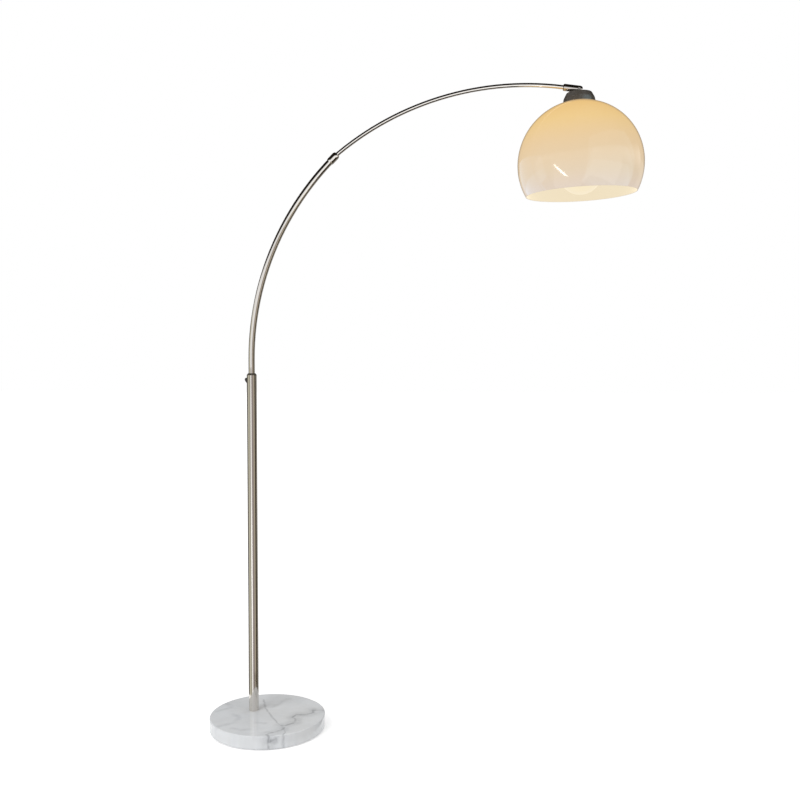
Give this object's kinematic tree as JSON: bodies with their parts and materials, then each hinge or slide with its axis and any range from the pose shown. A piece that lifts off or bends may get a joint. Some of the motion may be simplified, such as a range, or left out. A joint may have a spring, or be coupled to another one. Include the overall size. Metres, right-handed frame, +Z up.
{
  "type": "arc floor lamp",
  "caption": "Arc floor lamp with a round marble foot, steel pole, telescopic steel arc that swivels and rises, and a tilting opal ball shade with a globe bulb",
  "frame": {"origin": "On the floor, on the axis of the pole", "axes": "+Z is up along the pole, +X is the way the arc reaches at rest, +Y is to the back"},
  "size_m": [1.2913, 0.3849, 1.9362],
  "materials": {
    "felt": "black felt",
    "marble": "polished white marble with grey veins",
    "rubber": "matt black rubber",
    "zinc_steel": "zinc-plated steel",
    "satin_steel": "satin brushed steel",
    "polished_steel": "nickel-plated, bright",
    "dark_nickel": "dark nickel, brushed",
    "black_screw": "black oxide",
    "guide_plastic": "black nylon",
    "opal_acrylic": "opal white acrylic, glossy, lit from inside",
    "holder_plastic": "white thermoset",
    "holder_ceramic": "unglazed ceramic",
    "bulb_brass": "nickel-plated brass",
    "bulb_glass": "frosted globe, lit"
  },
  "bodies": {
    "stand": {"base_pad": "felt", "base_disc": "marble", "cord_grommet": "rubber", "base_washer": "zinc_steel", "base_nut": "zinc_steel", "pole_stud": "zinc_steel", "pole_foot_plug": "zinc_steel", "pole": "satin_steel", "pole_top_bush": "dark_nickel", "screw_boss": "dark_nickel"},
    "wing_screw": {"clamp_screw": "black_screw"},
    "spigot": {"spigot_guide": "guide_plastic"},
    "lower_arc": {"arc_lower_tube": "polished_steel", "arc_collar": "polished_steel", "collar_bush": "guide_plastic"},
    "upper_arc": {"arc_upper_tube": "polished_steel", "stop_bush": "guide_plastic", "end_sleeve": "dark_nickel", "pivot_screw": "zinc_steel", "pivot_nut": "zinc_steel", "pivot_washers": "guide_plastic"},
    "head": {"swivel_tongue": "dark_nickel", "shade_cap": "dark_nickel", "stem_coupling": "zinc_steel", "stem_pipe": "zinc_steel", "shade": "opal_acrylic", "shade_plate": "zinc_steel", "plate_nut": "zinc_steel", "holder_cup": "holder_plastic", "holder_skirt": "holder_plastic", "holder_contact": "holder_ceramic", "bulb_cap": "bulb_brass", "bulb_globe": "bulb_glass"}
  },
  "joints": [
    {"name": "screw_turn", "type": "hinge", "parent": "stand", "child": "wing_screw", "pos_m": [0, 0, 1.0595], "axis": [-0.4226, 0.9063, 0], "range_deg": [0, 360]},
    {"name": "arm_height", "type": "slide", "parent": "stand", "child": "spigot", "axis": [0, 0, 1], "range_m": [-0.035, 0.2]},
    {"name": "arm_swivel", "type": "hinge", "parent": "spigot", "child": "lower_arc", "pos_m": [0, 0, 1], "axis": [0, 0, 1], "range_deg": [-175, 175]},
    {"name": "arc_extension", "type": "hinge", "parent": "lower_arc", "child": "upper_arc", "pos_m": [0.84, 0, 1.1285], "axis": [0, 1, 0], "range_deg": [0, 8]},
    {"name": "shade_tilt", "type": "hinge", "parent": "upper_arc", "child": "head", "pos_m": [0.97959, 0, 1.91309], "axis": [0, -1, 0], "range_deg": [-6, 50]}
  ]
}
